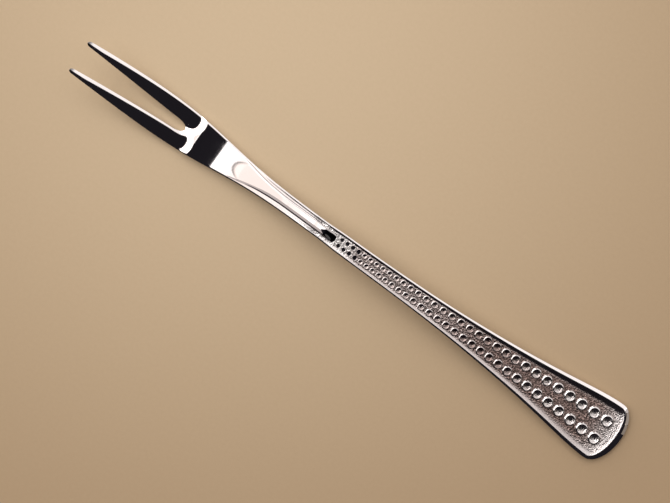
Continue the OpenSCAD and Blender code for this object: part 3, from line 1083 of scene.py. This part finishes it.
# Painted light: paler near the bright place, darker away from it
painted_falloff = node(tree, "ShaderNodeMix", data_type="RGBA")
tree.links.new(falling.outputs["Result"], painted_falloff.inputs["Factor"])
painted_falloff.inputs["A"].default_value = (0.853, 0.889, 0.889, 1)
painted_falloff.inputs["B"].default_value = (0.547, 0.52, 0.475, 1)
toned = node(tree, "ShaderNodeVectorMath", operation="MULTIPLY")
tree.links.new(sheet.outputs["Color"], toned.inputs[0])
tree.links.new(painted_falloff.outputs["Result"], toned.inputs[1])
paper_shader = tree.nodes["Principled BSDF"]
tree.links.new(toned.outputs["Vector"], paper_shader.inputs["Base Color"])
paper_shader.inputs["Roughness"].default_value = 0.9
paper_shader.inputs["Specular IOR Level"].default_value = 0.1
floor.data.materials.append(paper)
print("paper darkens over", bright_radius, "m")

# %% [markdown]
# Light
# Lamps are shapes in the polished metal's reflections, so where a lamp's edge stands decides where a
# bright band begins. A picture of a room could light the fork, but a few plain lamps can each be moved to
# fit one band. A wide window leans over on the side of the points. The strips before it get dimmer and
# warmer towards it, and a dim lamp lies beside them. A pale wall and a pale ceiling are on the far side,
# and a low wall is beyond the handle's end. All else is dark.

# %% Lamp helpers
def soft_lamp(name, centre, face, up, size_x, size_y, radiance, colour):
    lamp = bpy.data.objects.new(name, bpy.data.lights.new(name, "AREA"))
    bpy.context.scene.collection.objects.link(lamp)
    back = -Vector(face).normalized()
    side = Vector(up).cross(back).normalized()
    lamp.matrix_world = facing(side, back.cross(side), back, centre)
    lamp.data.shape = "RECTANGLE"
    lamp.data.size, lamp.data.size_y = size_x, size_y
    lamp.data.energy = radiance * math.pi * size_x * size_y
    lamp.data.color = colour
    print(name, "gives", round(lamp.data.energy, 2), "W")


def leaning_lamp(name, toward, near, far, shift, width, radiance, colour):
    # A lamp over the table. Its near and far edges are each given as a distance out and a height
    (near_out, near_up), (far_out, far_up) = near, far
    toward, up = Vector(toward), Vector((0, 0, 1))
    centre = toward * (near_out + far_out) / 2 + up * (near_up + far_up) / 2 + Vector(shift)
    slope = toward * (near_out - far_out) + up * (near_up - far_up)
    face = -(toward * (near_up - far_up) + up * (far_out - near_out))
    soft_lamp(name, centre, face, slope, width, slope.length, radiance, colour)


# %% Window
overhead = 4.0
low_edge = (4.6, 0.45)
window_out = 1.46
to_points = (-1, 0, 0)
strip_edges = (0.592, 0.66, 0.72, 0.79, 0.88, window_out)
strip_radiance = (1.8, 1.66, 1.52, 1.4, 1.28)
strip_blue = (0.96, 0.93, 0.9, 0.86, 0.82)
leaning_lamp("window", to_points, (window_out, overhead), low_edge, shift=(0, 1.05, 0), width=6.9,
             radiance=3.1, colour=(1, 0.97, 0.95))
for i, (radiance, blue) in enumerate(zip(strip_radiance, strip_blue)):
    leaning_lamp(f"window_strip_{i}", to_points, (strip_edges[i], overhead), (strip_edges[i + 1], overhead),
                 shift=(0, 1.137, 0), width=3.33, radiance=radiance, colour=(1, 0.3 + 0.7 * blue, blue))
leaning_lamp("window_side", to_points, (strip_edges[0], overhead), (window_out, overhead),
             shift=(0, -1.065, 0), width=1.075, radiance=0.6, colour=(1, 0.88, 0.85))

# %% Walls and room
to_far_side = (0, 1, 0)
ceiling_out, wall_out = 0.86, 2.31
pale = (1, 0.95, 0.93)
leaning_lamp("pale_wall", to_far_side, (wall_out, overhead), low_edge, shift=(1.5, 0, 0), width=5.5,
             radiance=1.25, colour=pale)
leaning_lamp("pale_ceiling", to_far_side, (ceiling_out, overhead), (wall_out, overhead), shift=(1.85, 0, 0),
             width=4.8, radiance=0.85, colour=pale)
end_near, end_low = 3.5, (4.6, 0.3)
# Direction in degrees from the handle's end, height, width, radiance and colour of each part
end_walls = [
    (38, 2.2, 1.45, 0.62, (1, 0.93, 0.88)), (18, 1.45, 1.45, 0.36, (1, 0.86, 0.72)),
    (4, 1.2, 0.55, 0.28, (1, 0.84, 0.68))]
for i, (degrees, height, width, radiance, colour) in enumerate(end_walls):
    toward = (math.cos(math.radians(degrees)), math.sin(math.radians(degrees)), 0)
    leaning_lamp(f"end_wall_{i}", toward, (end_near, height), end_low, (0, 0, 0), width, radiance, colour)
world = bpy.data.worlds.new("room")
bpy.context.scene.world = world
world.use_nodes = True
world.node_tree.nodes["Background"].inputs["Color"].default_value = (0.014, 0.0125, 0.016, 1)
world.node_tree.nodes["Background"].inputs["Strength"].default_value = 1.0
bpy.context.scene.view_settings.view_transform = "Standard"
